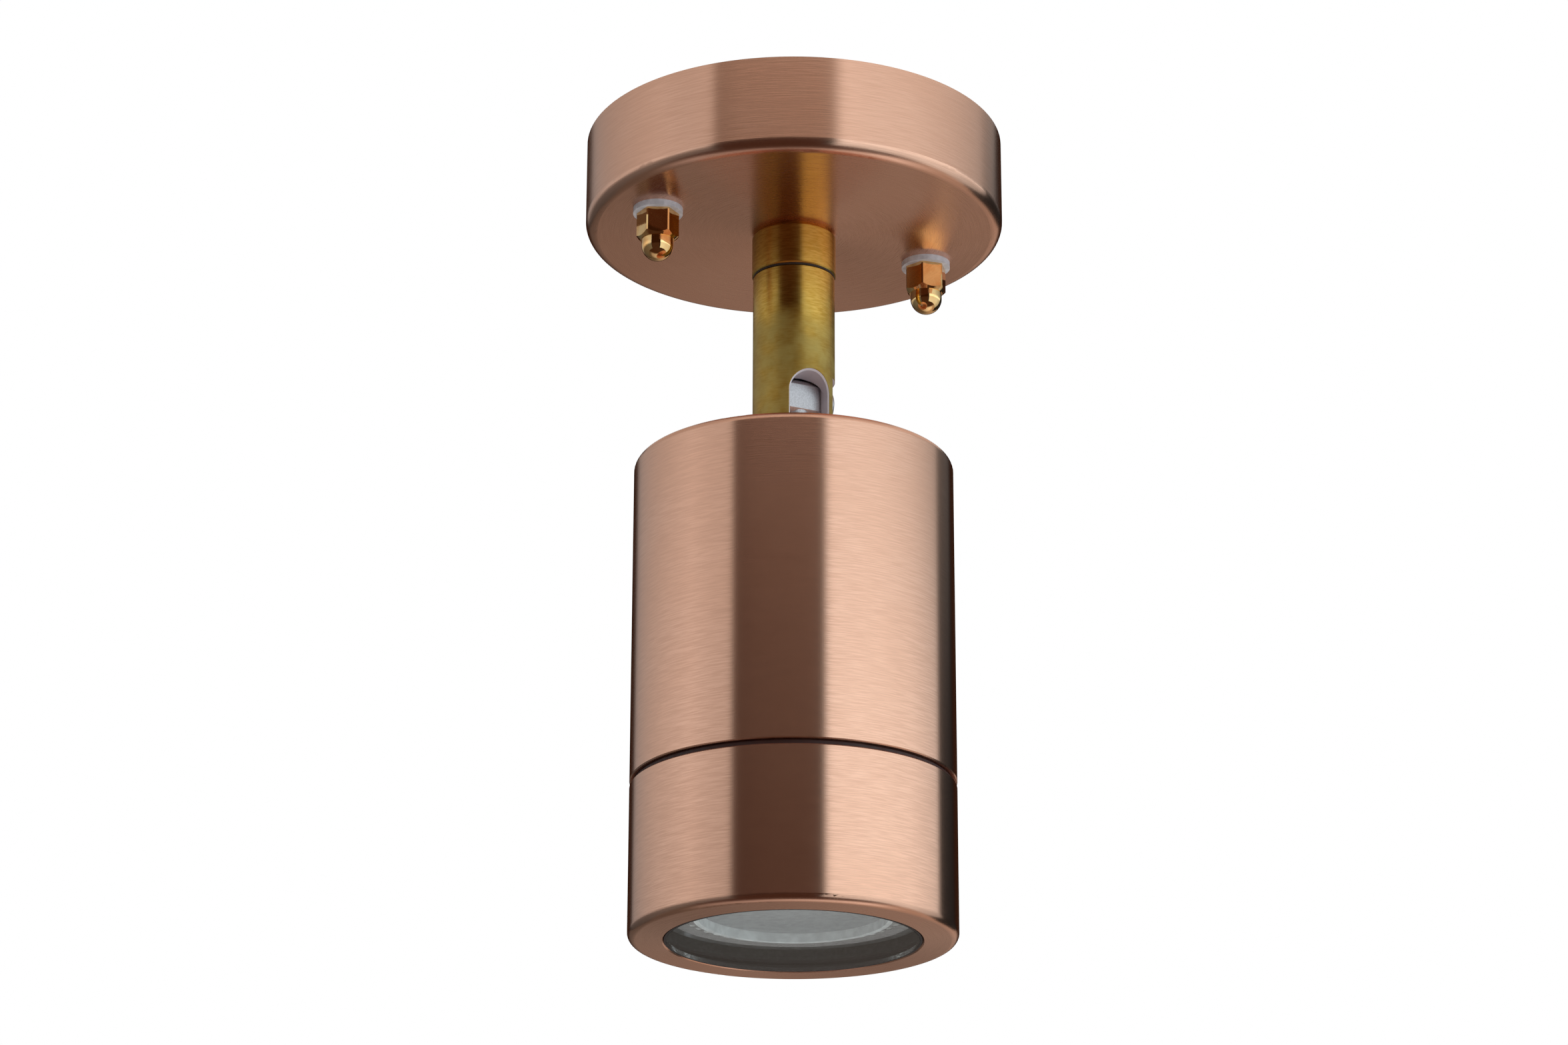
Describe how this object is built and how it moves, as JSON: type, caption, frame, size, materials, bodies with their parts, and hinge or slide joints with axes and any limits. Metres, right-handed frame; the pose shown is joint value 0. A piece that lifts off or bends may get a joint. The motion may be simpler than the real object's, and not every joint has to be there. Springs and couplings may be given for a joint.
{
  "type": "wall spotlight",
  "caption": "Copper outdoor spotlight: round canopy, swivelling and tilting brass stem, cylinder head with a screwed front ring and a reflector lamp behind glass.",
  "frame": {"origin": "on the mounting face, at the centre of the canopy and of the two wall screw slots", "axes": "+Z out of the back of the canopy into the wall, +X along the line of the two dome nuts and of the tilt pivot, the head tilts towards -Y"},
  "size_m": [0.08, 0.08, 0.1575],
  "materials": {
    "copper": "brushed copper",
    "stem_brass": "aged brass",
    "nut_brass": "polished",
    "stainless_steel": "satin",
    "zinc_plate": "zinc plated",
    "tinned_copper": "tinned",
    "black_rubber": "matt",
    "dark_nylon": "matt",
    "pale_nylon": "satin",
    "clear_glass": "clear",
    "grey_aluminium": "grey anodised",
    "lamp_grey": "satin",
    "lamp_trim": "bright",
    "lamp_lens": "frosted",
    "plated_brass": "nickel plated",
    "holder_ceramic": "glazed",
    "block_nylon": "natural nylon",
    "lead_brown": "satin",
    "lead_blue": "satin",
    "lead_green_yellow": "satin"
  },
  "bodies": {
    "base": {"canopy": "copper", "wall_gasket": "black_rubber", "mounting_strap": "zinc_plate", "canopy_studs": "stainless_steel", "stud_lock_nuts": "stainless_steel", "stud_washers": "pale_nylon", "dome_nuts": "nut_brass", "earth_tag": "tinned_copper", "earth_screw": "stainless_steel", "earth_link_lead": "lead_green_yellow", "terminal_block": "block_nylon", "terminal_inserts": "plated_brass", "terminal_screws": "plated_brass", "terminal_block_screw": "stainless_steel", "collar": "stem_brass", "collar_seal": "black_rubber", "collar_washer": "stainless_steel", "collar_nut": "stainless_steel", "swivel_grub_screw": "stainless_steel", "line_lead_base": "lead_brown", "neutral_lead_base": "lead_blue", "earth_lead_base": "lead_green_yellow"},
    "stem": {"stem": "stem_brass", "swivel_washer": "dark_nylon", "pivot_screw": "stainless_steel", "line_lead_stem": "lead_brown", "neutral_lead_stem": "lead_blue", "earth_lead_stem": "lead_green_yellow"},
    "head": {"knuckle_arm": "stainless_steel", "arm_seal": "black_rubber", "arm_nut": "stainless_steel", "holder_bracket": "zinc_plate", "bracket_earth_tag": "tinned_copper", "bracket_earth_screw": "stainless_steel", "lampholder": "holder_ceramic", "lampholder_contacts": "plated_brass", "lampholder_screws": "stainless_steel", "lamp_pins": "plated_brass", "lamp_base": "lamp_grey", "lamp_body": "lamp_grey", "lamp_bezel": "lamp_grey", "lamp_trim_ring": "lamp_trim", "lamp_lens": "lamp_lens", "head_shell": "copper", "body_o_ring": "black_rubber", "line_lead_head": "lead_brown", "neutral_lead_head": "lead_blue", "earth_lead_head": "lead_green_yellow"},
    "lens_pack": {"lens_glass": "clear_glass", "front_gasket": "black_rubber", "lens_spacer": "grey_aluminium"},
    "ring": {"front_ring": "copper"}
  },
  "joints": [
    {"name": "stem_swivel", "type": "hinge", "parent": "base", "child": "stem", "pos_m": [0, 0, -0.0272], "axis": [0, 0, 1], "range_deg": [-165, 165]},
    {"name": "head_tilt", "type": "hinge", "parent": "stem", "child": "head", "pos_m": [0, 0, -0.0529], "axis": [-1, 0, 0], "range_deg": [0, 90]},
    {"name": "ring_travel", "type": "slide", "parent": "head", "child": "lens_pack", "axis": [0, 0, -1], "range_m": [0, 0.0075]},
    {"name": "ring_twist", "type": "hinge", "parent": "lens_pack", "child": "ring", "pos_m": [0, 0, -0.129], "axis": [0, 0, -1], "range_deg": [0, 1800]}
  ],
  "couplings": [
    {"joint": "ring_travel", "follows": "ring_twist", "m_per_rad": 0.00023873}
  ]
}
